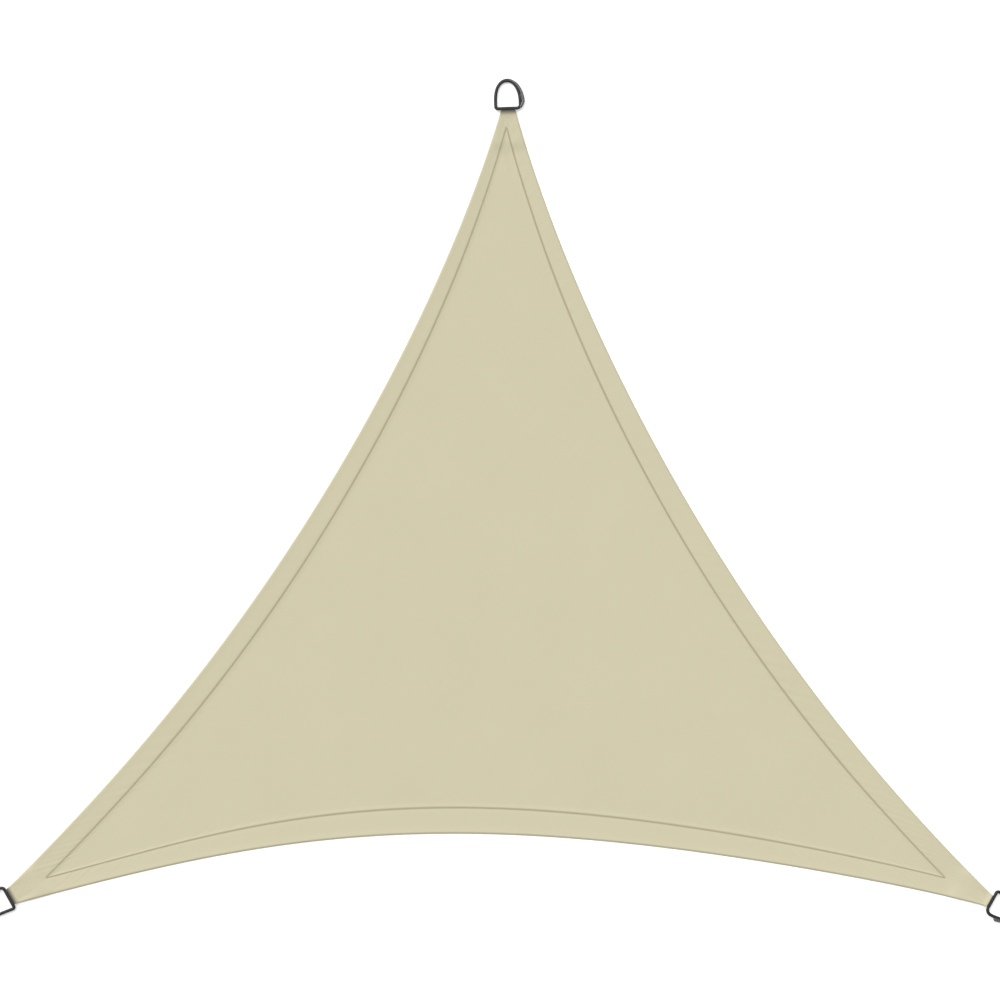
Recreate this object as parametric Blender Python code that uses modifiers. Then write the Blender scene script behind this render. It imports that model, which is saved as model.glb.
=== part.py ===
"""A three-cornered shade sail laid out flat, as it is before it is hung: one cloth panel with
hollow edges and a hem turned under all round, and at each corner a steel D-ring that a loop of
webbing holds to the cloth. Metres, +Z up, the sail's point towards +Y."""

from math import acos, asin, cos, hypot, pi, radians, sin

import bmesh
import bpy
from mathutils import Vector

# --- driving sizes, in metres ---
CLOTH = 0.0012            # one layer of cloth; the hem is two
GAP = 0.0003              # between pieces that lie on each other
MIDDLE = Vector((-0.0041, -0.2666))   # of the field, which every row of the cloth closes in on

# Each corner: the middle and the width of the cloth's cut end, the way it faces in degrees
# from +X, the point where the hem's stitching turns, and how far out from the ring's bar its
# lapped end of wire starts and is at its full width.
CORNERS = {
    "top": {
        "end": (0.0168, 0.7982), "width": 0.0303, "faces": 92.0,
        "turn": (0.0131, 0.7623), "lap": (0.0005, 0.0135),
    },
    "left": {
        "end": (-0.9996, -0.8075), "width": 0.0348, "faces": 209.0,
        "turn": (-0.9266, -0.7691), "lap": (0.0005, 0.0135),
    },
    "right": {
        "end": (1.0002, -0.8163), "width": 0.0256, "faces": 331.0,
        "turn": (0.9086, -0.7692), "lap": (0.0165, 0.0200),
    },
}
SHORT = 0.0044            # from the cloth's cut end to the middle of the ring's bar
# Each edge, run anticlockwise: how deep it is hollowed at mid-span, and how far it leans
# towards its end, fills out and twists off a plain arc.
EDGES = {
    ("top", "left"): {"depth": 0.1140, "lean": -0.005, "fill": 0.006, "twist": -0.007},
    ("left", "right"): {"depth": 0.1431, "lean": -0.031, "fill": -0.020, "twist": 0.030},
    ("right", "top"): {"depth": 0.1162, "lean": 0.001, "fill": 0.008, "twist": 0.006},
}
EDGE_STEPS = 34           # along an edge
EDGE_CROWDING = 0.85      # how far the steps crowd to the corners: 0 is even
END_STEPS = 4             # across a corner's cut end
TURN_WIDTH = 0.004        # of the hem's stitching where it turns
# Rows of the cloth: as shares of the way from its edge to the hem's stitching, and then of the
# way from the stitching to the middle. The second list starts at the hem's inner edge.
HEM_ROWS = (0.02, 0.05, 0.10, 0.16, 0.25, 0.40, 0.60, 0.80, 1.0)
FIELD_ROWS = (0.010, 0.035, 0.065, 0.10, 0.15)

WIRE_RADIUS = 0.0032
RING_HALF_WIDTH = 0.0252  # of the ring, all to the middle of its wire
RING_REACH = 0.0566       # from the bar to the crown of the bow
RING_CORNER = 0.0055      # bending radius beside the bar
RING_FLANK = 0.014        # how far out the flanks run straight
BOW_POWER = 2.2           # of the bow's superellipse: 2 is a plain ellipse
BOW_STEPS = 21            # odd, so that one facet lies square across the crown
CORNER_STEPS = 3
WIRE_SIDES = 12
LAP = 0.0061              # how far out the lapped end of the wire lies beside the other
LAP_PARTS, LAP_WIDE = 0.0565, 0.017   # distances from the bar where it parts, and is widest
LAP_SWELL = 0.8           # how soon it widens: 1 is evenly

WEBBING = 0.0012          # thickness
WEBBING_WIDTH = 0.028
TAIL_LENGTH = 0.052       # from the bar to the tails' ends
TAIL_MEETS = 0.015        # from the bar to where the upper tail comes down on the lower
TAIL_STEPS = 6
LOOP_STEPS = 10
CLEAR_PAST, CLEAR_BESIDE = 0.012, 0.007   # how far round the tails the cloth stays lifted
SETTLES_PAST, SETTLES_BESIDE = 0.030, 0.026   # and over how much more it comes down

# --- worked out from them ---
FACET_RADIUS = WIRE_RADIUS / cos(pi / WIRE_SIDES)     # to the corners of the wire's section
LOOP_RADIUS = FACET_RADIUS + GAP + WEBBING / 2        # of the webbing round the bar
BAR_HEIGHT = LOOP_RADIUS + WEBBING / 2
LOWER_TAIL = WEBBING / 2                              # heights of the webbing's middle
UPPER_TAIL = LOWER_TAIL + WEBBING + GAP
LOOP_TOP = BAR_HEIGHT + LOOP_RADIUS
RING_TILT = asin((BAR_HEIGHT - WIRE_RADIUS) / RING_REACH)   # lets the crown down to the ground


def clear_scene():
    for old in list(bpy.data.objects):
        bpy.data.objects.remove(old, do_unlink=True)


def fade(value, start, stop):
    """1 up to start, 0 from stop on, and an easy slope between."""
    share = min(max((value - start) / (stop - start), 0.0), 1.0)
    return (1 + cos(pi * share)) / 2


def material(name, colour, roughness, metallic=0.0):
    made = bpy.data.materials.new(name)
    made.use_nodes = True
    shader = made.node_tree.nodes["Principled BSDF"]
    shader.inputs["Base Color"].default_value = (*colour, 1.0)
    shader.inputs["Roughness"].default_value = roughness
    shader.inputs["Metallic"].default_value = metallic
    made.diffuse_color = (*colour, 1.0)
    return made


def lofted(name, rows, closed):
    """A mesh of quads between rows of points. Closed rows of rows join up as a ring; open ones
    are capped at both ends."""
    bm = bmesh.new()
    grid = [[bm.verts.new(point) for point in row] for row in rows]
    count = len(grid[0])
    pairs = list(zip(grid, grid[1:]))
    if closed:
        pairs.append((grid[-1], grid[0]))
    for near, far in pairs:
        for i in range(count):
            j = (i + 1) % count
            bm.faces.new((near[i], near[j], far[j], far[i]))
    caps = [] if closed else [bm.faces.new(grid[0]), bm.faces.new(grid[-1])]
    bmesh.ops.recalc_face_normals(bm, faces=bm.faces)
    if caps:
        bmesh.ops.triangulate(bm, faces=caps, ngon_method="BEAUTY")
    mesh = bpy.data.meshes.new(name)
    bm.to_mesh(mesh)
    bm.free()
    mesh.shade_smooth()
    mesh.set_sharp_from_angle(angle=radians(40))
    return mesh


def add_object(name, mesh, collection, parent=None):
    made = bpy.data.objects.new(name, mesh)
    made.parent = parent
    collection.objects.link(made)
    return made


# --- the corners ---
def outward(corner):
    angle = radians(corner["faces"])
    return Vector((cos(angle), sin(angle)))


def bar_centre(corner):
    return Vector(corner["end"]) + outward(corner) * SHORT


def across(middle, width, corner):
    """The two ends of a line of this width, square to the way the corner faces, in
    anticlockwise order."""
    along = outward(corner).orthogonal() * width / 2
    return Vector(middle) - along, Vector(middle) + along


# --- the cloth ---
def hollow(u, depth, lean, fill, twist):
    """How far inwards of its chord an edge lies, at the share u of its length."""
    s = 2 * u - 1
    return 4 * u * (1 - u) * (depth + lean * s + fill * s**2 + twist * s**3)


def outline(ends):
    """A closed loop of points across each corner's end and along each hollow edge."""
    points = []
    for (corner, following), shape in EDGES.items():
        first, last = ends[corner]
        points += [first.lerp(last, i / END_STEPS) for i in range(END_STEPS)]
        run = ends[following][0] - last
        inwards = run.orthogonal().normalized()
        for i in range(EDGE_STEPS):
            even = i / EDGE_STEPS
            u = even - EDGE_CROWDING * sin(2 * pi * even) / (2 * pi)
            points.append(last + run * u + inwards * hollow(u, **shape))
    return points


def webbing_height(inside):
    """The middle of the upper layer of webbing above the ground, this far inside the bar."""
    return UPPER_TAIL + (LOOP_TOP - UPPER_TAIL) * fade(inside, 0, TAIL_MEETS)


def webbing_top(inside):
    step = 0.0001
    slope = (webbing_height(inside + step) - webbing_height(inside)) / step
    return webbing_height(inside) + WEBBING / 2 * hypot(1, slope)


def lift(point):
    """How high the webbing's tails hold the underside of the cloth off the ground."""
    height = 0.0
    for corner in CORNERS.values():
        away = bar_centre(corner) - point
        inside = away.dot(outward(corner))
        aside = abs(away.cross(outward(corner)))
        past = inside - TAIL_LENGTH - CLEAR_PAST
        beside = aside - WEBBING_WIDTH / 2 - CLEAR_BESIDE
        held = fade(past, 0, SETTLES_PAST) * fade(beside, 0, SETTLES_BESIDE)
        height = max(height, held * (webbing_top(inside) + GAP))
    return height


def cloth_rows():
    """The cloth's rows from the middle of its underside, out to its edge and back over its
    face. The hem's turned-under layer lies on the ground and ends in a step; inside it the
    single layer of the field comes down to the ground."""
    edge = outline({name: across(c["end"], c["width"], c) for name, c in CORNERS.items()})
    turn = outline({name: across(c["turn"], TURN_WIDTH, c) for name, c in CORNERS.items()})

    def row(outer, inner, share, height):
        flat = [a.lerp(b, share) for a, b in zip(outer, inner)]
        return [Vector((*point, lift(point) + height)) for point in flat]

    middle = [MIDDLE] * len(turn)
    raised = {share: CLOTH * fade(share, FIELD_ROWS[0], FIELD_ROWS[-1]) for share in FIELD_ROWS}
    rows = [row(turn, middle, share, raised[share]) for share in reversed(FIELD_ROWS)]
    rows.append(row(turn, middle, FIELD_ROWS[0], 0))
    rows += [row(edge, turn, share, 0) for share in reversed(HEM_ROWS)]
    rows.append(row(edge, turn, 0, CLOTH))
    rows += [row(edge, turn, share, 2 * CLOTH) for share in HEM_ROWS]
    rows += [row(turn, middle, share, CLOTH + raised[share]) for share in FIELD_ROWS]
    return rows


# --- the D-ring, its bar's middle at the origin and its bow towards +Y ---
def ring_path():
    """The middle of the wire, anticlockwise from the bar's +X end."""
    points = []
    for side in (1, -1):
        centre = Vector((side * (RING_HALF_WIDTH - RING_CORNER), RING_CORNER))
        turns = [pi / 2 * i / CORNER_STEPS for i in range(CORNER_STEPS + 1)]
        bend = [centre + RING_CORNER * Vector((side * sin(a), -cos(a))) for a in turns]
        points += bend if side == 1 else bend[::-1]
        if side == 1:
            for i in range(BOW_STEPS + 1):
                a = pi * i / BOW_STEPS
                x = abs(cos(a)) ** (2 / BOW_POWER) * (1 if a < pi / 2 else -1)
                y = sin(a) ** (2 / BOW_POWER) if 0 < i < BOW_STEPS else 0
                rise = RING_REACH - RING_FLANK
                points.append(Vector((x * RING_HALF_WIDTH, RING_FLANK + y * rise)))
    return points


def lap(point, starts, full):
    """How far the lapped end of the wire stands out beside the flank on the +X side."""
    if point.x <= 0:
        return 0.0
    parted = min(max((LAP_PARTS - point.y) / (LAP_PARTS - LAP_WIDE), 0.0), 1.0)
    cut = min(max((point.y - starts) / (full - starts), 0.0), 1.0)
    return LAP * parted**LAP_SWELL * cut


def ring_mesh(starts, full):
    """Sections of the wire, round where it is single and drawn out where it is lapped."""
    path = ring_path()
    rows = []
    for i, point in enumerate(path):
        before = (point - path[i - 1]).normalized()
        after = (path[(i + 1) % len(path)] - point).normalized()
        along = (before + after).normalized()
        out = Vector((along.y, -along.x))
        mitre = 1 / cos(acos(min(before.dot(after), 1.0)) / 2)
        row = []
        for facet in range(WIRE_SIDES):
            a = 2 * pi * (facet + 0.5) / WIRE_SIDES
            reach = FACET_RADIUS * cos(a) * mitre + (lap(point, starts, full) if cos(a) > 0 else 0)
            row.append(Vector((*(point + out * reach), FACET_RADIUS * sin(a))))
        rows.append(row)
    return lofted("ring", rows, closed=True)


# --- the webbing, a strip from one tail round the bar to the other, inwards along -Y ---
def webbing_mesh():
    strip = [(TAIL_LENGTH, LOWER_TAIL)]
    for i in range(LOOP_STEPS + 1):
        a = pi * i / LOOP_STEPS
        strip.append((-LOOP_RADIUS * sin(a), BAR_HEIGHT - LOOP_RADIUS * cos(a)))
    for i in range(1, TAIL_STEPS + 1):
        inside = TAIL_MEETS * i / TAIL_STEPS
        strip.append((inside, webbing_height(inside)))
    strip.append((TAIL_LENGTH, UPPER_TAIL))
    bm = bmesh.new()
    for side in (-1, 1):
        for inside, height in strip:
            bm.verts.new((side * WEBBING_WIDTH / 2, -inside, height))
    bm.verts.ensure_lookup_table()
    for i in range(len(strip) - 1):
        j = i + len(strip)
        bm.faces.new([bm.verts[k] for k in (i, i + 1, j + 1, j)])
    bmesh.ops.recalc_face_normals(bm, faces=bm.faces)
    mesh = bpy.data.meshes.new("webbing")
    bm.to_mesh(mesh)
    bm.free()
    return mesh


def main():
    clear_scene()
    sail = bpy.data.collections.new("shade_sail")
    bpy.context.scene.collection.children.link(sail)

    cloth = add_object("sail_cloth", lofted("sail_cloth", cloth_rows(), closed=False), sail)
    cloth.data.materials.append(material("cloth", (0.658, 0.610, 0.434), 0.8))

    laps = {corner["lap"] for corner in CORNERS.values()}
    rings = {lap: ring_mesh(*lap) for lap in sorted(laps)}
    steel = material("steel", (0.09, 0.09, 0.09), 0.35, metallic=0.9)
    for ring in rings.values():
        ring.materials.append(steel)
    webbing = webbing_mesh()
    webbing.materials.append(material("webbing", (0.035, 0.034, 0.033), 0.85))
    for name, corner in CORNERS.items():
        seat = add_object("corner_" + name, None, sail)
        seat.location = (*bar_centre(corner), 0)
        seat.rotation_euler.z = radians(corner["faces"] - 90)
        d_ring = add_object("ring_" + name, rings[corner["lap"]], sail, seat)
        d_ring.location.z = BAR_HEIGHT
        d_ring.rotation_euler.x = -RING_TILT
        strap = add_object("webbing_" + name, webbing, sail, seat)
        thick = strap.modifiers.new("thickness", "SOLIDIFY")
        thick.thickness = WEBBING
        thick.offset = 0
        thick.use_even_offset = True


main()
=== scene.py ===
"""A three-cornered shade sail laid out flat, face up, as it is before it is hung.

Metres, +Z up, the sail's point towards +Y, as in the frame that it is built on."""

from math import asin, cos, pi, radians, sin

import bmesh
import bpy
import numpy as np
from mathutils import Matrix, Vector
from mathutils.bvhtree import BVHTree
from mathutils.geometry import delaunay_2d_cdt


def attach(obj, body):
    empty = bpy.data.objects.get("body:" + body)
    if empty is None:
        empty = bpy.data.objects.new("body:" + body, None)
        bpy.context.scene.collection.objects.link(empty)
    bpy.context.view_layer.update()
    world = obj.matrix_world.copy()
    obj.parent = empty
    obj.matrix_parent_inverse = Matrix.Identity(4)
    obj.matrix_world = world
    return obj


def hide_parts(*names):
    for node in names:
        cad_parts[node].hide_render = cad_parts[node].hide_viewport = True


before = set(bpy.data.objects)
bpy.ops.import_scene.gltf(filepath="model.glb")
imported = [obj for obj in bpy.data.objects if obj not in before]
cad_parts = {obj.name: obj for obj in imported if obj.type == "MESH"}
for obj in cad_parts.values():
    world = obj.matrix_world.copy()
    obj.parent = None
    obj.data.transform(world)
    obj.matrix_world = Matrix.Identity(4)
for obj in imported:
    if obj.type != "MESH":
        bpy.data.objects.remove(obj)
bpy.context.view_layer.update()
scene = bpy.context.scene

# --- The floor, the light and the camera ------------------------------------------------------
# A pale studio floor, lit softly and almost evenly, with the stronger light from the upper
# left. The camera hangs straight above the sail's middle and looks down.
FLOOR_HALF = 60.0
FLOOR_HEIGHT = -0.0005    # just under the ground that the sail lies on
FLOOR_GLOW = 0.28
STUDIO_LIGHT = 0.50
KEY_LIGHT = 3.1
KEY_WIDTH = radians(70)   # as seen from the sail
KEY_SHINES = Vector((0.40, -0.74, -0.80))
CAMERA_HEIGHT = 5.0
SEEN_WIDTH = 2.045        # of the ground, from one side of the picture to the other
SEEN_MIDDLE = (0.0001, 0.0025)
SENSOR_WIDTH = 36         # mm

scene.view_settings.view_transform = "Standard"

floor_mesh = bpy.data.meshes.new("floor")
floor_mesh.from_pydata(
    [(x * FLOOR_HALF, y * FLOOR_HALF, FLOOR_HEIGHT) for x, y in ((-1, -1), (1, -1), (1, 1), (-1, 1))],
    [], [(0, 1, 2, 3)])
floor = bpy.data.objects.new("floor", floor_mesh)
scene.collection.objects.link(floor)
pale = bpy.data.materials.new("pale_floor")
pale.use_nodes = True
for socket, value in (("Base Color", (0.95, 0.95, 0.95, 1)), ("Roughness", 0.9),
                      ("Specular IOR Level", 0.0), ("Emission Color", (1, 1, 1, 1)),
                      ("Emission Strength", FLOOR_GLOW)):
    pale.node_tree.nodes["Principled BSDF"].inputs[socket].default_value = value
floor_mesh.materials.append(pale)

studio = bpy.data.worlds.new("studio")
studio.use_nodes = True
studio.node_tree.nodes["Background"].inputs["Color"].default_value = (1, 1, 1, 1)
studio.node_tree.nodes["Background"].inputs["Strength"].default_value = STUDIO_LIGHT
scene.world = studio

key = bpy.data.lights.new("key_light", "SUN")
key.energy = KEY_LIGHT
key.angle = KEY_WIDTH
key_lamp = bpy.data.objects.new("key_light", key)
key_lamp.rotation_euler = KEY_SHINES.to_track_quat("-Z", "Y").to_euler()
scene.collection.objects.link(key_lamp)

lens = bpy.data.cameras.new("camera")
lens.sensor_width = SENSOR_WIDTH
lens.lens = SENSOR_WIDTH * CAMERA_HEIGHT / SEEN_WIDTH
camera = bpy.data.objects.new("camera", lens)
camera.location = (*SEEN_MIDDLE, CAMERA_HEIGHT)
scene.collection.objects.link(camera)
scene.camera = camera


# --- The cloth --------------------------------------------------------------------------------
# One panel of plain-woven beige polyester. Its three edges are cut hollow, so that it pulls
# taut when it hangs, and turned under as a broad hem. It lies on the ground, and over the
# webbing's tails at its corners.
CLOTH = 0.0005            # thickness of a layer
FOLD = 0.0024             # height of the hem's folded edge, between the middles of its layers
ROLL = 0.0007             # height of its outermost line
MIDDLE = np.array((-0.0041, -0.2666))

# Each corner: the middle and the width of the cloth's end, the way it faces in degrees from +X,
# where the hem's stitching turns, where inside its end the painted shade that darkens the cloth
# next to the ring starts and stops and how strong it is, the webbing's width, how far out from
# the ring's bar its lapped end of wire starts and is full, the ring's bends at the right and left
# of its bar, and how much its flanks there lean in.
CORNERS = {
    "top": {"end": (0.0168, 0.7982), "width": 0.0303, "faces": 92.0, "turn": (0.0131, 0.7623),
            "painted_shade": (-0.0006, 0.0082, 1.0), "webbing": 0.0290, "lap": (0.0015, 0.0135),
            "bends": (0.0074, 0.0044), "lean": (0, 0)},
    "left": {"end": (-0.9996, -0.8075), "width": 0.0348, "faces": 209.0,
             "turn": (-0.9266, -0.7691), "painted_shade": (-0.0003, 0.0096, 1.0), "webbing": 0.0290,
             "lap": (0.0095, 0.0160), "bends": (0.0074, 0.0044), "lean": (0, 0.13)},
    "right": {"end": (1.0002, -0.8163), "width": 0.0256, "faces": 331.0,
              "turn": (0.9086, -0.7692), "painted_shade": (-0.0010, 0.0130, 0.13), "webbing": 0.0245,
              "lap": (0.0205, 0.0240), "bends": (0.0125, 0.0044), "lean": (0.06, 0)},
}
SHORT = 0.0044            # from the cloth's end to the middle of the ring's bar
TURN_WIDTH = 0.0014       # of the stitching where it turns
# Each edge, run anticlockwise: its hollow at mid-span, and how it leans, fills and twists.
EDGES = {
    ("top", "left"): (0.1140, -0.005, 0.006, -0.007),
    ("left", "right"): (0.1431, -0.031, -0.020, 0.030),
    ("right", "top"): (0.1162, 0.001, 0.008, 0.006),
}
# How far inside that line each edge lies, and each run of the stitching, between its ends.
EDGE_IN = {("top", "left"): -0.0003, ("left", "right"): 0.0006, ("right", "top"): -0.0002}
LINE_IN = {("top", "left"): -0.0006, ("left", "right"): -0.0013, ("right", "top"): -0.0021}
MOVES_IN = 12             # how soon past an end it lies in by as much as that
EDGE_STEPS = 350
END_STEPS = 14
CROWDING = 0.55           # how far the steps crowd to the corners: 0 is even


def fade(value, start, stop):
    """1 up to start, 0 from stop on, and an easy slope between."""
    share = np.clip((value - start) / (stop - start), 0.0, 1.0)
    return (1 + np.cos(pi * share)) / 2


def outward(corner):
    return np.array((cos(radians(corner["faces"])), sin(radians(corner["faces"]))))


def bar_middle(corner):
    return np.array(corner["end"]) + outward(corner) * SHORT


def across(middle, width, corner):
    """The ends of a line of this width, square to the way the corner faces."""
    out = outward(corner)
    along = np.array((-out[1], out[0])) * width / 2
    return np.array(middle) - along, np.array(middle) + along


def outline(ends, moved_in):
    """A closed loop of points across each corner's end and along each hollow edge."""
    points = []
    for (corner, following), (depth, lean, fill, twist) in EDGES.items():
        first, last = ends[corner]
        steps = np.arange(END_STEPS)[:, None] / END_STEPS
        points.append(first + (last - first) * steps)
        run = ends[following][0] - last
        inwards = np.array((-run[1], run[0])) / np.hypot(*run)
        even = np.arange(EDGE_STEPS)[:, None] / EDGE_STEPS
        u = even - CROWDING * np.sin(2 * pi * even) / (2 * pi)
        s = 2 * u - 1
        hollow = 4 * u * (1 - u) * (depth + lean * s + fill * s**2 + twist * s**3)
        more = moved_in[corner, following] * np.minimum(1, MOVES_IN * u * (1 - u))
        points.append(last + run * u + inwards * (hollow + more))
    return np.concatenate(points)


edge_line = outline(
    {name: across(c["end"], c["width"], c) for name, c in CORNERS.items()}, EDGE_IN)
seam_line = outline(
    {name: across(c["turn"], TURN_WIDTH, c) for name, c in CORNERS.items()}, LINE_IN)
columns = len(edge_line)
inward = seam_line - edge_line
hem_width = np.hypot(*inward.T)[:, None]
inward /= hem_width
to_middle = MIDDLE - seam_line
to_middle /= np.hypot(*to_middle.T)[:, None]

LEAST_SQUARE = 0.42       # the least share of a slanting step that is taken to go square across
BLENDED = 6               # columns to each side that a column shares its slant with


def slant(line, steps, reach):
    """How much further than square across a line its points step, where they step aslant."""
    along = np.roll(line, -1, 0) - np.roll(line, 1, 0)
    along /= np.hypot(*along.T)[:, None]
    square = np.abs(steps[:, 0] * along[:, 1] - steps[:, 1] * along[:, 0])
    square = np.min([np.roll(square, i) for i in range(-reach, reach + 1)], 0)
    square = np.mean([np.roll(square, i) for i in range(-BLENDED, BLENDED + 1)], 0)
    return 1 / np.maximum(square, LEAST_SQUARE)[:, None]


edge_slant = slant(edge_line, inward, 0)
seam_slant = slant(seam_line, inward, 0)
field_slant = slant(seam_line, to_middle, END_STEPS)

# The cloth's rows lie so many millimetres from its edge or from the seam, and closer where the
# hem is narrower than this. The hem's middle, between the two, is parted in shares.
FULL_FROM_EDGE = 28
FULL_FROM_SEAM = 16
SHARED_FROM_EDGE = 11
SHARED_FROM_SEAM = -6.5


def from_edge(mm):
    return edge_line + inward * np.minimum(edge_slant * mm / 1000, hem_width * mm / FULL_FROM_EDGE)


def from_seam(mm):
    """A loop of points in from the seam, or out from it towards the edge below 0."""
    if mm < 0:
        return seam_line + inward * np.maximum(
            seam_slant * mm / 1000, hem_width * mm / FULL_FROM_SEAM)
    return seam_line + to_middle * field_slant * mm / 1000


def over_hem(share):
    return from_edge(SHARED_FROM_EDGE) * (1 - share) + from_seam(SHARED_FROM_SEAM) * share


# The webbing that the cloth lies over at its corners (its own section is further down).
WEBBING = 0.0012
WEBBING_WIDTH = 0.028
TAIL_LENGTH = 0.052
TAIL_MEETS = 0.015        # how far inside the bar the upper tail comes down on the lower
GAP = 0.0003
WIRE_RADIUS = 0.0032
BAR_HEIGHT = WIRE_RADIUS / cos(pi / 12) + GAP + WEBBING
BAR_RADIUS = 0.00285      # of the wire inside the webbing
TIGHT = 0.0004            # the webbing's thickness where it is drawn tight round the bar
LOOP_RADIUS = BAR_RADIUS + 0.00005 + TIGHT / 2
UPPER_TAIL = WEBBING / 2 + WEBBING + GAP
# How far past and beside the tails the cloth stays lifted, and over how much more it comes down.
CLEAR_PAST, CLEAR_BESIDE = 0.012, 0.007
SETTLES_PAST, SETTLES_BESIDE = 0.030, 0.026


def upper_tail(inside):
    """The middle of the webbing's upper layer above the ground, this far inside the bar."""
    return UPPER_TAIL + (BAR_HEIGHT + LOOP_RADIUS - UPPER_TAIL) * fade(inside, 0, TAIL_MEETS)


def tail_top(inside):
    step = 0.0001
    slope = (upper_tail(inside + step) - upper_tail(inside)) / step
    return upper_tail(inside) + WEBBING / 2 * np.hypot(1, slope)


def lift(points):
    """How high the webbing's tails hold the cloth off the ground."""
    height = np.zeros(len(points))
    for corner in CORNERS.values():
        out = outward(corner)
        away = bar_middle(corner) - points
        inside = away @ out
        aside = np.abs(away[:, 0] * out[1] - away[:, 1] * out[0])
        held = fade(inside - TAIL_LENGTH - CLEAR_PAST, 0, SETTLES_PAST)
        held = held * fade(aside - WEBBING_WIDTH / 2 - CLEAR_BESIDE, 0, SETTLES_BESIDE)
        height = np.maximum(height, held * (tail_top(inside) + GAP))
    return height


def wander(points, scale, seed):
    """A smooth, uneven value between about -1 and 1 over the ground."""
    dice = np.random.default_rng(seed)
    total = np.zeros(len(points))
    for _ in range(7):
        turn = dice.uniform(0, 2 * pi)
        wave = 2 * pi / (scale * dice.uniform(0.7, 1.6))
        total += np.sin(wave * (points @ (cos(turn), sin(turn))) + dice.uniform(0, 2 * pi))
    return total / 3.5


def unevenness(points):
    """How the cloth's middle lies a little up and down, from about -1 to 1."""
    return wander(points, 0.22, 3)


# The puckers that follow the seam: waves of many lengths that swell and fade round the sail, and
# die out where the seam turns.
PUCKER_WAVES = 14
LONGEST, SHORTEST = 0.040, 0.017
SMOOTH_TURN = (0.005, 0.050)

steps_round = np.hypot(*(np.roll(seam_line, -1, 0) - seam_line).T)
girth = steps_round.sum()
round_sail = 2 * pi * np.concatenate(((0,), np.cumsum(steps_round)[:-1])) / girth
pucker = np.zeros(columns)
dice = np.random.default_rng(11)
for waves in dice.integers(int(girth / LONGEST), int(girth / SHORTEST), PUCKER_WAVES):
    swell = 1 + 0.7 * np.sin(dice.integers(3, 11) * round_sail + dice.uniform(0, 6))
    pucker += swell * np.sin(waves * round_sail + dice.uniform(0, 6)) / PUCKER_WAVES**0.5
for corner in CORNERS.values():
    pucker *= 1 - fade(np.hypot(*(seam_line - corner["turn"]).T), *SMOOTH_TURN)

# The painted shade along the fold of each edge, from 0 to 1: most on the edge that faces away
# from the key light, none on the edge that faces it.
FOLD_SHADE = {("top", "left"): 0.0, ("left", "right"): 0.26, ("right", "top"): 0.08}
fold_shade = np.concatenate([(0,) * END_STEPS + (FOLD_SHADE[edge],) * EDGE_STEPS for edge in EDGES])

# The rows of the cloth's middle, from the hem's cut edge underneath, out round the fold and back
# over the face: where each lies, its height over what carries it, the puckers' height in it, how
# uneven it lies, how far in from the seam it counts for the finish, and its share of the fold's
# painted shade.
NO_SEAM = 0.1             # stands for far from the seam, and below 0 for the hem's side of it
FLATTENED = 0.8           # how much of a row's own height a hollow may take away
base = CLOTH / 2
rows = []


def add_row(points, height, puckers=0.0, uneven=0.0, seam=-NO_SEAM, fold_shade_share=0.0):
    bumps = pucker * puckers + unevenness(points) * uneven
    z = lift(points) + base + height + np.maximum(bumps, -height * FLATTENED)
    rows.append((points, z, np.full(columns, seam), fold_shade * fold_shade_share))


# Underneath, flat on what carries it.
for mm in (3.0, 0.0, -4.0):
    add_row(from_seam(mm), 0)
for share in (0.75, 0.5, 0.25):
    add_row(over_hem(share), 0)
for mm in (11.0, 7.5, 4.6, 2.2):
    add_row(from_edge(mm), 0)
# Round the fold, which is tight below and full above, and carries the painted shade along the edge.
FOLD_IN, FOLD_BELOW, FOLD_ABOVE = 0.25, 1.0, 3.4      # mm
for degrees in (-75, -45, -15):
    a = radians(degrees)
    add_row(from_edge(FOLD_IN + FOLD_BELOW * (1 - cos(a))), ROLL * (1 + sin(a)), fold_shade_share=0.5)
for degrees in (10, 30, 48, 64, 78):
    a = radians(degrees)
    add_row(from_edge(FOLD_IN + FOLD_ABOVE * (1 - cos(a))), ROLL + (FOLD - ROLL) * sin(a), fold_shade_share=1.0)
# Over the hem and the groove that the seam draws in it, and out onto the field.
for mm, height in ((4.6, 0.0023), (7.5, 0.00205), (11.0, 0.00176)):
    add_row(from_edge(mm), height, 0.00003)
for share, height in ((0.25, 0.00155), (0.5, 0.00135), (0.75, 0.00118)):
    add_row(over_hem(share), height, 0.00006)
for mm, height, puckers in (
        (-6.5, 0.00102, 12e-5), (-4.5, 0.00090, 13e-5), (-3.0, 0.00078, 10e-5),
        (-1.8, 0.00067, 5e-5), (-0.8, 0.00056, 1e-5), (0.0, 0.00052, 0), (0.8, 0.00055, 1e-5),
        (1.8, 0.00062, 5e-5), (3.0, 0.00060, 9e-5), (4.2, 0.00046, 11e-5), (5.6, 0.00028, 11e-5),
        (7.5, 0.00013, 9e-5), (10.0, 0.00005, 8e-5), (14.0, 0.00002, 6e-5),
        (20.0, 0.00001, 4e-5)):
    add_row(from_seam(mm), height, puckers, seam=mm / 1000)
FIELD_HEIGHT = 0.00005
FIELD_UNEVEN = 0.0001
inner = from_seam(20.0)
for share, height in ((0.02, 0), (0.045, FIELD_HEIGHT), (0.08, FIELD_HEIGHT), (0.12, FIELD_HEIGHT)):
    add_row(inner + (MIDDLE - inner) * share, height, 1e-5, FIELD_UNEVEN * share / 0.12, NO_SEAM)

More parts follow.
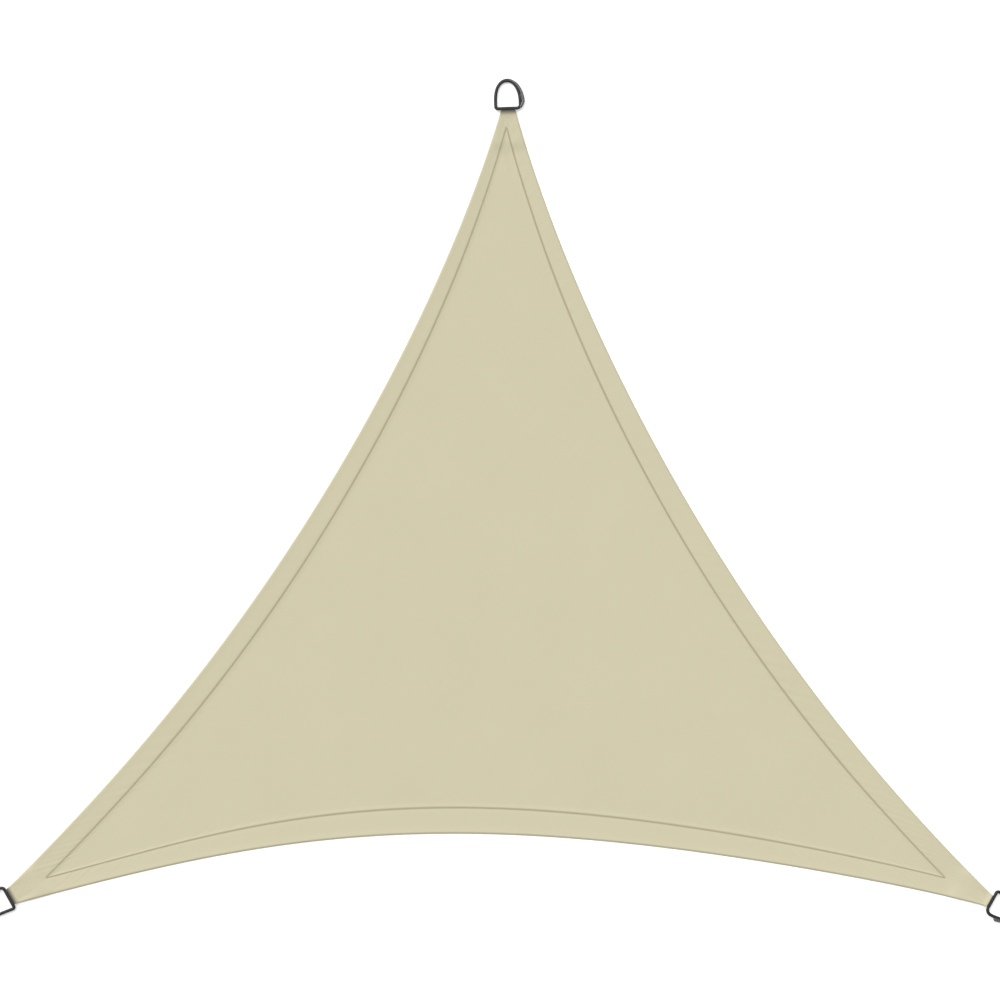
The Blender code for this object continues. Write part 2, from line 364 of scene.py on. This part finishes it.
# Inside the last row the field is a net of points at nearly even distances.
NET = 0.021
NET_SHIFT = 0.004
NET_CLEAR = 0.010         # of the last row
rim = rows[-1][0]
net = np.array([(x + NET_SHIFT * sin(91 * y), y + NET_SHIFT * sin(87 * x))
                for x in np.arange(-1.0, 1.0, NET) for y in np.arange(-0.8, 0.8, NET)])
inside = np.zeros(len(net), bool)
clear = np.full(len(net), 9.0)
for a, b in zip(rim, np.roll(rim, -1, 0)):
    crosses = (a[1] > net[:, 1]) != (b[1] > net[:, 1])
    where = a[0] + (b[0] - a[0]) * (net[:, 1] - a[1]) / (b[1] - a[1] if b[1] != a[1] else 1)
    inside ^= crosses & (net[:, 0] < where)
    clear = np.minimum(clear, np.hypot(*(net - a).T))
net = net[inside & (clear > NET_CLEAR)]
plan = [Vector(p) for p in np.concatenate((rim, net))]
rim_edges = [(i, (i + 1) % columns) for i in range(columns)]
_, _, net_faces, kept, _, _ = delaunay_2d_cdt(plan, rim_edges, [], 1, 1e-7)
kept = [source[0] for source in kept]

net_heights = base + FIELD_HEIGHT + unevenness(net) * FIELD_UNEVEN
points = np.concatenate([np.column_stack((xy, z)) for xy, z, _, _ in rows]
                        + [np.column_stack((net, net_heights))])
seam_value = np.concatenate([seam for _, _, seam, _ in rows] + [np.full(len(net), NO_SEAM)])
# Painted shade for each point: along the folds, and next to each ring.
painted_shade_value = np.concatenate([fold_shade_share for _, _, _, fold_shade_share in rows] + [np.zeros(len(net))])
# Painted shade on the cloth next to each ring, strongest at the cloth's end and fading inward.
for corner in CORNERS.values():
    away = (np.array(corner["end"]) - points[:, :2]) @ outward(corner)
    starts, stops, strength = corner["painted_shade"]
    painted_shade_value = np.maximum(painted_shade_value, fade(away, starts, stops) * strength)

faces = []
for row in range(0, (len(rows) - 1) * columns, columns):
    for i, j in rim_edges:
        faces.append((row + i, row + j, row + columns + j, row + columns + i))
last_row = (len(rows) - 1) * columns
faces += [tuple(last_row + kept[i] for i in face) for face in net_faces]
cloth_mesh = bpy.data.meshes.new("cloth")
cloth_mesh.from_pydata(points.tolist(), [], faces)
cloth_mesh.attributes.new("seam", "FLOAT", "POINT").data.foreach_set("value", seam_value)
cloth_mesh.attributes.new("painted_shade", "FLOAT", "POINT").data.foreach_set("value", painted_shade_value)
cloth_mesh.shade_smooth()
cloth = bpy.data.objects.new("cloth_panel", cloth_mesh)
scene.collection.objects.link(cloth)
thick = cloth.modifiers.new("thickness", "SOLIDIFY")
thick.thickness = CLOTH
thick.offset = 0


class Signal:
    """A socket of a finish, on which its shader maths is written as plain expressions."""

    def __init__(self, finish, socket):
        self.finish = finish
        self.socket = socket

    def maths(self, operation, *values):
        return self.finish.node("ShaderNodeMath", {"operation": operation}, dict(enumerate(values)))

    def __add__(self, other):
        return self.maths("ADD", self, other)

    def __sub__(self, other):
        return self.maths("SUBTRACT", self, other)

    def __rsub__(self, other):
        return self.maths("SUBTRACT", other, self)

    def __mul__(self, other):
        return self.maths("MULTIPLY", self, other)

    def __abs__(self):
        return self.maths("ABSOLUTE", self)

    __radd__ = __add__
    __rmul__ = __mul__

    def sine(self):
        return self.maths("SINE", self)

    def between(self, low, high):
        """0 below low, 1 above high and smooth between."""
        return self.finish.node(
            "ShaderNodeMapRange", {"interpolation_type": "SMOOTHSTEP"},
            {"Value": self, "From Min": low, "From Max": high})


class Finish:
    """One material: a Principled shader with its even values, and the nodes that feed it."""

    def __init__(self, name, even):
        self.material = bpy.data.materials.new(name)
        self.material.use_nodes = True
        self.tree = self.material.node_tree
        self.shader = self.tree.nodes["Principled BSDF"]
        for socket, value in even.items():
            self.shader.inputs[socket].default_value = value

    def node(self, kind, settings=None, sockets=None, output=0):
        made = self.tree.nodes.new(kind)
        for setting, value in (settings or {}).items():
            setattr(made, setting, value)
        named = {socket.identifier: socket for socket in made.inputs}
        for name, value in (sockets or {}).items():
            socket = made.inputs[name] if isinstance(name, int) else named.get(name)
            self.give(socket or made.inputs[name], value)
        if isinstance(output, str):
            output = [socket.identifier for socket in made.outputs].index(output)
        return Signal(self, made.outputs[output])

    def give(self, socket, value):
        if isinstance(value, Signal):
            self.tree.links.new(value.socket, socket)
        else:
            socket.default_value = value

    def mix(self, share, colour, other):
        return self.node("ShaderNodeMix", {"data_type": "RGBA"},
                         {"Factor_Float": share, "A_Color": colour, "B_Color": other},
                         "Result_Color")

    def noise(self, where, scale, detail=2.0):
        """An uneven value from about 0 to 1."""
        return self.node("ShaderNodeTexNoise", {},
                         {"Vector": where, "Scale": scale, "Detail": detail})

    def stretched(self, where, by):
        return self.node("ShaderNodeVectorMath", {"operation": "MULTIPLY"}, {0: where, 1: by})

    def place(self):
        return self.node("ShaderNodeTexCoord", output="Object")

    def attribute(self, name):
        return self.node("ShaderNodeAttribute", {"attribute_name": name}, output="Fac")

    def feed(self, socket, signal):
        self.give(self.shader.inputs[socket], signal)

    def relief(self, height, depth):
        """Bump from a height from 0 to 1, this deep in metres."""
        bump = self.node("ShaderNodeBump", {}, {"Height": height, "Strength": 1.0, "Distance": depth})
        self.feed("Normal", bump)


CLOTH_COLOUR = (0.550, 0.510, 0.358)
# The colour of the painted shade in the seam's groove.
GROOVE_SHADE_COLOUR = (0.378, 0.343, 0.216, 1)
# The colour of the painted shade along the folds and next to the rings.
PAINTED_SHADE_COLOUR = (0.062, 0.058, 0.058, 1)
YARN = 0.0010             # distance from one yarn to the next
SLUB_ALONG, SLUB_ACROSS = 60, 1100    # waves a metre of the yarns' thick and thin
CLOUDS = 7.0              # waves a metre of the cloth's soft unevenness
# Where the groove's painted shade is full, and where it ends.
GROOVE_DARK, GROOVE_ENDS = 0.0004, 0.0036     # distances from the seam
WEAVE_DEPTH = 0.00010

woven = Finish("woven_polyester", {"Specular IOR Level": 0.25, "Sheen Weight": 0.08})
place = woven.place()
x, y = (woven.node("ShaderNodeSeparateXYZ", {}, {"Vector": place}, side) for side in (0, 1))
weave = (x * (2 * pi / YARN)).sine() * (y * (2 * pi / YARN)).sine()
weft = woven.noise(woven.stretched(place, (SLUB_ALONG, SLUB_ACROSS, SLUB_ALONG)), 1.0, 3)
warp = woven.noise(woven.stretched(place, (SLUB_ACROSS, SLUB_ALONG, SLUB_ALONG)), 1.0, 3)
slub = weft + warp - 1.0
cloud = woven.noise(place, CLOUDS, 3)
# Painted shade in the groove that the seam draws in the cloth, darkest along the seam.
groove_shade = 1 - abs(woven.attribute("seam")).between(GROOVE_DARK, GROOVE_ENDS)
light = 1.0 + weave * 0.03 + slub * 0.05 + (cloud - 0.5) * 0.035
colour = woven.node("ShaderNodeVectorMath", {"operation": "SCALE"}, {0: CLOTH_COLOUR, "Scale": light})
colour = woven.mix(groove_shade * 0.9, colour, GROOVE_SHADE_COLOUR)
# Painted shade along the folds and next to the rings.
colour = woven.mix(woven.attribute("painted_shade"), colour, PAINTED_SHADE_COLOUR)
woven.feed("Base Color", colour)
woven.feed("Roughness", 0.80 + slub * 0.1)
woven.relief(weave * 0.25 + 0.5 + slub * 0.4, WEAVE_DEPTH)
cloth_mesh.materials.append(woven.material)

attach(cloth, "root")
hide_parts("sail_cloth")


# --- The hem's stitching ----------------------------------------------------------------------
# One row of lockstitch in heavy thread, a shade darker than the cloth, runs all round and holds
# the turned-under hem. It shows on the face and underneath.
HEM_STITCH = {"Pitch": 0.0050, "Length": 0.0037, "Thread": 0.0009}
STITCH_ABOVE = 0.00012    # the middle of the thread over the cloth's face
STITCH_UNDER = 0.00005    # and over what the hem lies on
STITCH_UNEVEN = (0.88, 1.08)      # each stitch's size, from and to, as a share of the full one
PLY = 1400.0              # waves a metre of the thread's twist


def thread_finish(name, even, dark, pale, depth):
    """Twisted sewing thread, between two shades."""
    thread = Finish(name, even)
    ply = thread.noise(thread.place(), PLY, 1)
    thread.feed("Base Color", thread.mix(ply, dark, pale))
    thread.relief(ply, depth)
    return thread


hem_thread = thread_finish(
    "sewing_thread", {"Roughness": 0.7, "Specular IOR Level": 0.3, "Sheen Weight": 0.05},
    (0.300, 0.262, 0.160, 1), (0.385, 0.340, 0.215, 1), 0.00008)

stitches = bpy.data.node_groups.new("stitches", "GeometryNodeTree")
stitches.interface.new_socket("Line", in_out="INPUT", socket_type="NodeSocketGeometry")
for name, value in HEM_STITCH.items():
    size = stitches.interface.new_socket(name, in_out="INPUT", socket_type="NodeSocketFloat")
    size.default_value = value
stitches.interface.new_socket("Finish", in_out="INPUT", socket_type="NodeSocketMaterial")
stitches.interface.new_socket("Stitches", in_out="OUTPUT", socket_type="NodeSocketGeometry")


def stitch_node(kind, settings=None, sockets=None, output=0):
    """An output of a new node in the stitching's tree, with its settings made first."""
    made = stitches.nodes.new(kind)
    for setting, value in (settings or {}).items():
        setattr(made, setting, value)
    for name, value in (sockets or {}).items():
        if isinstance(value, bpy.types.NodeSocket):
            stitches.links.new(value, made.inputs[name])
        else:
            made.inputs[name].default_value = value
    return made.outputs[output] if made.outputs else None


given = stitches.nodes.new("NodeGroupInput").outputs
line = stitch_node("GeometryNodeMeshToCurve", {}, {"Mesh": given["Line"]})
spaced = stitch_node("GeometryNodeResampleCurve", {"mode": "LENGTH"},
                     {"Curve": line, "Length": given["Pitch"]})
half_length, half_thread = (
    stitch_node("ShaderNodeMath", {"operation": "MULTIPLY"}, {0: given[name], 1: 0.5})
    for name in ("Length", "Thread"))
size = stitch_node("ShaderNodeCombineXYZ", {}, {"X": half_length, "Y": half_thread, "Z": half_thread})
bead = stitch_node("GeometryNodeMeshUVSphere", {}, {"Segments": 6, "Rings": 5, "Radius": 1.0})
one = stitch_node("GeometryNodeTransform", {}, {"Geometry": bead, "Scale": size})
tangent = stitch_node("GeometryNodeInputTangent")
aligned = stitch_node("FunctionNodeAlignRotationToVector", {"axis": "X"}, {"Vector": tangent})
uneven = stitch_node("FunctionNodeRandomValue", {"data_type": "FLOAT"},
                     {2: STITCH_UNEVEN[0], 3: STITCH_UNEVEN[1], "Seed": 5}, 1)
laid = stitch_node("GeometryNodeInstanceOnPoints", {}, {
    "Points": spaced, "Instance": one, "Rotation": aligned, "Scale": uneven})
real = stitch_node("GeometryNodeRealizeInstances", {}, {"Geometry": laid})
smooth = stitch_node("GeometryNodeSetShadeSmooth", {}, {"Geometry": real})
finished = stitch_node("GeometryNodeSetMaterial", {}, {"Geometry": smooth, "Material": given["Finish"]})
stitch_node("NodeGroupOutput", {}, {"Stitches": finished})


def sew(name, lines, sizes, finish):
    """A plain mesh of the stitches along lines of points; a line that ends where it starts is
    closed."""
    mesh = bpy.data.meshes.new(name + "_line")
    points, edges = [], []
    for line in lines:
        closed = np.allclose(line[0], line[-1])
        first, count = len(points), len(line) - closed
        points += [tuple(point) for point in line[:count]]
        edges += [(first + i, first + (i + 1) % count) for i in range(count - 1 + closed)]
    mesh.from_pydata(points, edges, [])
    sewn = bpy.data.objects.new(name + "_line", mesh)
    scene.collection.objects.link(sewn)
    modifier = sewn.modifiers.new("stitches", "NODES")
    modifier.node_group = stitches
    inputs = {item.name: item.identifier for item in stitches.interface.items_tree
              if item.in_out == "INPUT"}
    for size_name, value in sizes.items():
        modifier[inputs[size_name]] = value
    modifier[inputs["Finish"]] = finish.material
    evaluated = sewn.evaluated_get(bpy.context.evaluated_depsgraph_get())
    made = bpy.data.objects.new(name, bpy.data.meshes.new_from_object(evaluated))
    sewn.modifiers.remove(modifier)
    bpy.data.objects.remove(sewn)
    scene.collection.objects.link(made)
    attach(made, "root")


drape = BVHTree.FromPolygons(points.tolist(), faces)


def laid_on(line, above):
    """A line of points on the ground, let down onto the cloth's face."""
    down = Vector((0, 0, -1))
    let_down = []
    for point in line:
        over = Vector((point[0], point[1], 0.05))
        let_down.append((over.x, over.y, drape.ray_cast(over, down)[0].z + CLOTH / 2 + above))
    return let_down


hem_round = np.concatenate((seam_line, seam_line[:1]))
sew("hem_stitches", [laid_on(hem_round, STITCH_ABOVE)], HEM_STITCH, hem_thread)
sew("hem_stitches_under", [np.column_stack((hem_round, lift(hem_round) + STITCH_UNDER))],
    HEM_STITCH, hem_thread)


# --- The webbing loops ------------------------------------------------------------------------
# A short length of near-black polyester webbing goes round each ring's bar, and its two tails
# lie on each other under the cloth, box-stitched through it. It is drawn tight on the bar.
RIB_ALONG, RIB_ACROSS = 0.0017, 0.0026        # from one rib of its weave to the next
WEAR_STARTS, WEAR_FULL = 0.0115, 0.0140       # distances from its middle, towards its edges
FUZZ = 900.0              # waves a metre
RIB_DEPTH = 0.00022

strap_finish = Finish("black_webbing", {"Specular IOR Level": 0.35, "Sheen Weight": 0.10})
along, aside = strap_finish.attribute("along"), strap_finish.attribute("aside")
ribs = (along * (2 * pi / RIB_ALONG)).sine() * (aside * (2 * pi / RIB_ACROSS)).sine()
fuzz = strap_finish.noise(strap_finish.place(), FUZZ, 2)
worn = abs(aside).between(WEAR_STARTS, WEAR_FULL)
greyed = worn * 0.35 + ribs * 0.2 + (fuzz - 0.5) * 0.6 + 0.15
strap_finish.feed("Base Color", strap_finish.mix(
    greyed, (0.020, 0.019, 0.019, 1), (0.072, 0.068, 0.062, 1)))
strap_finish.feed("Roughness", 0.70 + fuzz * 0.2)
strap_finish.relief(ribs * 0.4 + 0.5 + fuzz * 0.25, RIB_DEPTH)

PRESSED = WEBBING - 0.0001        # the tails' thickness where they are sewn flat
THINS = 0.009             # how far inside the bar the webbing starts to be drawn thin


def strap_path():
    """The middle of the strap from the lower tail's end round the bar to the upper tail's end:
    distance inside the bar, height, thickness."""
    path = [(inside, WEBBING / 2, PRESSED) for inside in np.linspace(TAIL_LENGTH, 0.010, 22)]
    for inside in np.linspace(0.008, 0.001, 6):
        rise = (BAR_HEIGHT - LOOP_RADIUS - WEBBING / 2) * fade(inside, 0, THINS)
        path.append((inside, WEBBING / 2 + rise, TIGHT + (WEBBING - TIGHT) * inside / THINS))
    for a in np.linspace(0, pi, 25):
        path.append((-LOOP_RADIUS * sin(a), BAR_HEIGHT - LOOP_RADIUS * cos(a), TIGHT))
    for inside in np.linspace(0.001, TAIL_MEETS, 12):
        thickness = TIGHT + (PRESSED - TIGHT) * min(1, inside / THINS)
        path.append((inside, upper_tail(inside), thickness))
    return path + [(inside, UPPER_TAIL, PRESSED) for inside in np.linspace(0.018, TAIL_LENGTH, 20)]


SECTION_SIDES = 36
SECTION_POWERS = (0.22, 0.45)     # how square the section is across and through: 1 is round


def strap_mesh(name, seat, width):
    """The strap's rounded section, swept along its path."""
    path = strap_path()
    section = []
    for a in np.linspace(0, 2 * pi, SECTION_SIDES, endpoint=False):
        section.append([np.sign(share) * abs(share) ** power
                        for share, power in zip((cos(a), sin(a)), SECTION_POWERS)])
    bm = bmesh.new()
    layers = {key: bm.verts.layers.float.new(key) for key in ("along", "aside")}
    grid, run = [], 0.0
    for i, (inside, height, thickness) in enumerate(path):
        before, after = path[max(i - 1, 0)], path[min(i + 1, len(path) - 1)]
        step = Vector((after[0] - before[0], after[1] - before[1])).normalized()
        if i:
            run += np.hypot(inside - before[0], height - before[1])
        ring = []
        for across_share, thick_share in section:
            out = thick_share * thickness / 2
            aside_here = across_share * width / 2
            here = Vector((aside_here, -(inside - step.y * out), height + step.x * out))
            vert = bm.verts.new(seat @ here)
            vert[layers["along"]], vert[layers["aside"]] = run, aside_here
            ring.append(vert)
        grid.append(ring)
    for near, far in zip(grid, grid[1:]):
        for i in range(SECTION_SIDES):
            j = (i + 1) % SECTION_SIDES
            bm.faces.new((near[i], near[j], far[j], far[i]))
    bm.faces.new(grid[0])
    bm.faces.new(grid[-1])
    bmesh.ops.recalc_face_normals(bm, faces=bm.faces)
    mesh = bpy.data.meshes.new(name)
    bm.to_mesh(mesh)
    bm.free()
    mesh.shade_smooth()
    return mesh


def corner_seat(corner):
    """The place of a corner: its origin on the ground below the bar's middle, its ring +Y."""
    return Matrix.Translation((*bar_middle(corner), 0)) @ Matrix.Rotation(
        radians(corner["faces"] - 90), 4, "Z")


# The box stitch: a cross in a box, so far in from the bar and so wide.
BOX_NEAR, BOX_FAR, BOX_HALF = 0.019, 0.047, 0.0098
BOX_STITCH = {"Pitch": 0.0032, "Length": 0.0026, "Thread": 0.00055}
BOX_PROUD = 0.00002       # how far the middle of its thread lies outside the cloth and webbing

box = [(-BOX_HALF, -BOX_NEAR), (BOX_HALF, -BOX_NEAR), (BOX_HALF, -BOX_FAR), (-BOX_HALF, -BOX_FAR)]
runs = list(zip(box, box[1:] + box[:1])) + [(box[0], box[2]), (box[1], box[3])]
face_lines, back_lines = [], []
for name, corner in CORNERS.items():
    seat = corner_seat(corner)
    strap_data = strap_mesh("strap_" + name, seat, corner["webbing"])
    strap_data.materials.append(strap_finish.material)
    strap = bpy.data.objects.new("strap_" + name, strap_data)
    scene.collection.objects.link(strap)
    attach(strap, "root")
    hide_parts("webbing_" + name)
    for a, b in np.array(runs):
        line = [seat @ Vector((*(a + (b - a) * t), 0)) for t in np.linspace(0, 1, 16)]
        face_lines.append(laid_on(line, BOX_PROUD))
        back_lines.append([(point.x, point.y, -BOX_PROUD) for point in line])

box_thread = thread_finish(
    "beige_thread", {"Roughness": 0.8, "Specular IOR Level": 0.25, "Sheen Weight": 0.08},
    (0.500, 0.462, 0.322, 1), (0.556, 0.516, 0.366, 1), 0.00006)
sew("corner_stitches", face_lines, BOX_STITCH, box_thread)
sew("corner_stitches_under", back_lines, BOX_STITCH, box_thread)


# --- The D-rings ------------------------------------------------------------------------------
# Each ring is one length of dark steel wire, bent into a D. Its end laps along the outside of
# one flank and is welded there, a little short of the bar; lap and weld carry a painted highlight.
HALF_WIDTH = 0.0252
REACH = 0.0568
FLANK = 0.014             # how far out the flanks run straight
LEAN_ENDS = 0.028         # how far out they have leant in all the way
BOW_POWERS = (2.1, 2.35)  # of the superellipse of its bow, to the right and the left
HELD_HALF = 0.0152        # how far to each side of its middle the bar is inside the webbing
LAP = 0.0061              # how far out the lapped end lies beside the other wire
LAP_PARTS, LAP_WIDE = 0.0565, 0.017   # distances from the bar where it parts, and is widest
LAP_SWELL = 0.6           # how soon it widens: 1 is evenly
LAP_CROWN = 0.0012        # how far out it still lies at the crown
CROWN_LAPPED = 0.016      # how far past the crown it runs
CROWN_FROM = 0.040        # how far from the bar the bow counts as its crown
# The lapped strand's painted highlight is full this far to the side of the crown.
HIGHLIGHT_FROM = 0.012         # how far to the side of the crown it is fully paler
RING_TILT = asin((BAR_HEIGHT - WIRE_RADIUS) / REACH)
WIRE_SIDES = 20
SCUFFS = 120.0            # waves a metre
DRAWN_ALONG, DRAWN_AROUND = 90, 9     # waves of the drawing marks, a metre and a turn
STEEL_DEPTH = 0.00003

steel = Finish("drawn_steel", {"Metallic": 0.8, "Specular Tint": (0.08, 0.08, 0.08, 1)})
drawn_along = steel.node("ShaderNodeCombineXYZ", {}, {
    0: steel.attribute("along") * DRAWN_ALONG, 1: steel.attribute("around") * DRAWN_AROUND, 2: 0.0})
drawn = steel.noise(drawn_along, 1.0, 3.0)
scuffs = steel.noise(steel.place(), SCUFFS, 4).between(0.55, 0.75)
# Painted highlight: the lapped strand, and its weld beads in part, get a paler steel colour.
wire_colour = steel.mix(
    steel.attribute("lapped"), (0.046, 0.046, 0.048, 1), (0.155, 0.155, 0.156, 1))
steel.feed("Base Color", steel.mix(
    scuffs * 0.2 + (drawn - 0.5) * 0.1, wire_colour, (0.20, 0.198, 0.194, 1)))
steel.feed("Roughness", 0.40 + drawn * 0.12 + scuffs * 0.06)
steel.relief(drawn * 0.7 + scuffs * 0.3, STEEL_DEPTH)


def wire_tube(bm, path, radii, lapped, closed):
    """A round tube along a flat path, its section standing square to it."""
    keys = {key: bm.verts.layers.float.get(key) or bm.verts.layers.float.new(key)
            for key in ("along", "around", "lapped")}
    grid, run = [], 0.0
    for i, point in enumerate(path):
        before = path[i - 1] if i or closed else path[0]
        after = path[(i + 1) % len(path)] if closed or i + 1 < len(path) else path[-1]
        step = (after - before).normalized()
        out = Vector((step.y, -step.x, 0))
        run += (point - path[i - 1]).length if i else 0
        ring = []
        for side in range(WIRE_SIDES):
            a = 2 * pi * side / WIRE_SIDES
            vert = bm.verts.new(point + (out * cos(a) + Vector((0, 0, 1)) * sin(a)) * radii[i])
            vert[keys["along"]], vert[keys["around"]] = run, side / WIRE_SIDES
            vert[keys["lapped"]] = lapped * min(max(point.x / HIGHLIGHT_FROM, 0), 1)
            ring.append(vert)
        grid.append(ring)
    for near, far in zip(grid, grid[1:] + ([grid[0]] if closed else [])):
        for i in range(WIRE_SIDES):
            j = (i + 1) % WIRE_SIDES
            bm.faces.new((near[i], near[j], far[j], far[i]))
    if not closed:
        bm.faces.new(grid[0])
        bm.faces.new(grid[-1])


def half_line(side, bend, lean, power):
    """The middle of the wire from the bar's middle round one side, up to the crown."""
    line = [(x, 0) for x in np.linspace(0, HALF_WIDTH - bend, 8, endpoint=False)]
    for a in np.linspace(0, pi / 2, 14):
        line.append((HALF_WIDTH - bend + bend * sin(a), bend - bend * cos(a)))
    line += [(HALF_WIDTH, y) for y in np.linspace(bend, FLANK, 12)[1:-1]]
    for a in np.linspace(0, pi / 2, 49)[:-1]:
        line.append((cos(a) ** (2 / power) * HALF_WIDTH,
                     FLANK + sin(a) ** (2 / power) * (REACH - FLANK)))
    line.append((0, REACH))
    leant = []
    for x, y in line:
        leant.append(Vector((side * x * (1 - lean * sin(pi / 2 * min(1, y / LEAN_ENDS))), y, 0)))
    return leant


def evenly(line, step):
    """The same line with its points this far apart."""
    line = np.array(line)
    run = np.concatenate(((0,), np.cumsum(np.hypot(*np.diff(line, axis=0).T[:2]))))
    places = np.linspace(0, run[-1], int(run[-1] / step) + 2)
    return [Vector(point) for point in zip(*(np.interp(places, run, values) for values in line.T))]


def lap_line(main, starts, full, share=1.0):
    """The outer strand, from beside the bar up the flank and a little past the crown, or a line
    that lies a share of the way out to it."""
    points = []
    for i, point in enumerate(main):
        if point.y > starts and point.x > (-CROWN_LAPPED if point.y > CROWN_FROM else 0.010):
            step = (main[i + 1] - main[i - 1]).normalized()
            if point.x > 0:
                widens = min(max((LAP_PARTS - point.y) / (LAP_PARTS - LAP_WIDE), 0), 1)
                off = LAP * widens**LAP_SWELL
                off = max(off * min(1, (point.y - starts) / (full - starts)), LAP_CROWN)
            else:
                off = LAP_CROWN * (1 + point.x / CROWN_LAPPED)
            points.append(point + Vector((step.y, -step.x, 0)) * off * share)
    return points


# The weld: a bead along each face of the ring, in the valley between the two strands.
BEAD_LENGTH = 0.016
BEAD_STARTS = 0.0125      # from the bar, or from where the lap is full if that is further
BEAD_HEIGHT = 0.0016      # from the wire's middle
BEAD_THIN, BEAD_SWELL = 0.0009, 0.0009    # its radius at its ends, and how much more at its middle
ROUNDED = 6               # steps over which the lapped strand's end is rounded

for name, corner in CORNERS.items():
    bm = bmesh.new()
    right, left = (half_line(*shape) for shape in
                   zip((1, -1), corner["bends"], corner["lean"], BOW_POWERS))
    main = right + left[-2:0:-1]
    radii = [BAR_RADIUS if abs(p.x) < HELD_HALF and p.y < 0.001 else WIRE_RADIUS for p in main]
    wire_tube(bm, main, radii, 0.0, True)
    outer = evenly(lap_line(main, *corner["lap"]), 0.0005)
    ends = [min(1, (i + 0.5) / ROUNDED, (len(outer) - i - 0.5) / ROUNDED) for i in range(len(outer))]
    wire_tube(bm, outer, [WIRE_RADIUS * (1 - (1 - end)**2) ** 0.5 for end in ends], 1.0, False)
    dice = np.random.default_rng(7)
    low = max(BEAD_STARTS, corner["lap"][1])
    welded = evenly([p for p in lap_line(main, *corner["lap"], 0.5)
                     if low < p.y < low + BEAD_LENGTH and p.x > 0.015], 0.0006)
    for face_side in (1, -1):
        bead_line = [p + Vector((0, 0, face_side * BEAD_HEIGHT)) for p in welded]
        swell = []
        for i in range(len(bead_line)):
            full = BEAD_THIN + BEAD_SWELL * sin(pi * (i + 0.5) / len(bead_line)) ** 0.5
            swell.append(full + 0.00018 * sin(i * 1.9) + 0.0001 * dice.uniform(-1, 1))
        # The weld bead carries part of the painted highlight.
        wire_tube(bm, bead_line, swell, 0.6, False)
    bmesh.ops.recalc_face_normals(bm, faces=bm.faces)
    bm.transform(corner_seat(corner) @ Matrix.Translation((0, 0, BAR_HEIGHT))
                 @ Matrix.Rotation(-RING_TILT, 4, "X"))
    ring_mesh = bpy.data.meshes.new("d_ring_" + name)
    bm.to_mesh(ring_mesh)
    bm.free()
    ring_mesh.shade_smooth()
    ring_mesh.materials.append(steel.material)
    ring = bpy.data.objects.new("d_ring_" + name, ring_mesh)
    scene.collection.objects.link(ring)
    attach(ring, "root")
    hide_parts("ring_" + name)
